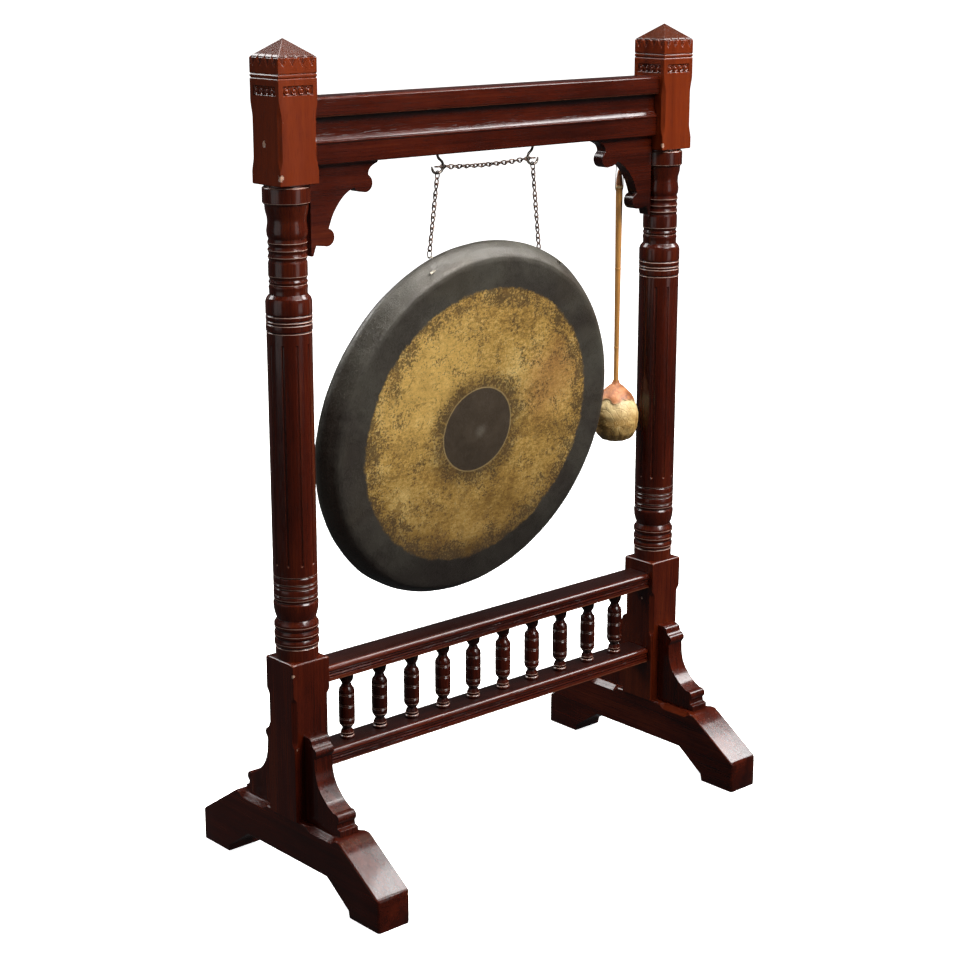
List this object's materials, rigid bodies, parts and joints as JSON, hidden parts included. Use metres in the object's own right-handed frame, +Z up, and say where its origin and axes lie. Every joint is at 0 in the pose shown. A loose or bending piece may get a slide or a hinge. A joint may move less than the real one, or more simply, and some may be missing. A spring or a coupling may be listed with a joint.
{
  "type": "tam tam gong",
  "caption": "Bronze tam tam gong with a turned-back rim, hung on chains from hooks in a free-standing turned mahogany stand, with a padded cane mallet on its own hook.",
  "frame": {"origin": "floor level, midway between the posts and midway front to back", "axes": "+Z up, +X along the stand's width towards the mallet side, -Y is the front, where the gong's face looks"},
  "size_m": [1.0896, 0.582, 1.653],
  "materials": {
    "mahogany": "french polished",
    "dark_mahogany": "french polished",
    "bronze": "patinated, scraped annulus",
    "iron": "dull",
    "chain": "rusty plating",
    "brass": "aged",
    "cane": "satin",
    "cord": "matte",
    "hide": "worn",
    "leather": "worn"
  },
  "bodies": {
    "stand": {"post_left": "mahogany", "post_right": "mahogany", "foot_left": "dark_mahogany", "foot_right": "dark_mahogany", "scroll_bracket_left_front": "dark_mahogany", "scroll_bracket_left_rear": "dark_mahogany", "scroll_bracket_right_front": "dark_mahogany", "scroll_bracket_right_rear": "dark_mahogany", "top_beam": "mahogany", "corner_bracket_left": "mahogany", "corner_bracket_right": "mahogany", "upper_rail": "mahogany", "lower_rail": "mahogany", "baluster_1": "mahogany", "baluster_2": "mahogany", "baluster_3": "mahogany", "baluster_4": "mahogany", "baluster_5": "mahogany", "baluster_6": "mahogany", "baluster_7": "mahogany", "baluster_8": "mahogany", "baluster_9": "mahogany", "baluster_10": "mahogany", "hook_left": "iron", "hook_right": "iron", "mallet_hook": "brass"},
    "cross_chain": {"cross_chain": "chain"},
    "chains": {"chain_left": "chain", "chain_right": "chain"},
    "gong": {"gong": "bronze", "rim_wire_left": "iron", "rim_wire_right": "iron"},
    "mallet_cord": {"mallet_cord": "cord"},
    "mallet": {"mallet_handle": "cane", "handle_end": "leather", "mallet_head": "hide", "head_cap": "leather"}
  },
  "joints": [
    {"name": "chains_swing", "type": "hinge", "parent": "stand", "child": "chains", "pos_m": [-0.007, 0, 1.3835], "axis": [1, 0, 0], "range_deg": [-12, 12]},
    {"name": "gong_swing", "type": "hinge", "parent": "chains", "child": "gong", "pos_m": [-0.156, 0, 1.2215], "axis": [0.9966, 0, -0.0825], "range_deg": [-15, 15]},
    {"name": "cross_chain_sway", "type": "hinge", "parent": "stand", "child": "cross_chain", "pos_m": [-0.007, 0, 1.396], "axis": [1, 0, 0], "range_deg": [-20, 20]},
    {"name": "mallet_lift", "type": "slide", "parent": "stand", "child": "mallet_cord", "axis": [0, 0, 1], "range_m": [0, 0.025]},
    {"name": "mallet_swing", "type": "hinge", "parent": "mallet_cord", "child": "mallet", "pos_m": [0.401, 0.028, 1.306], "axis": [1, 0, 0], "range_deg": [-10, 10]}
  ]
}
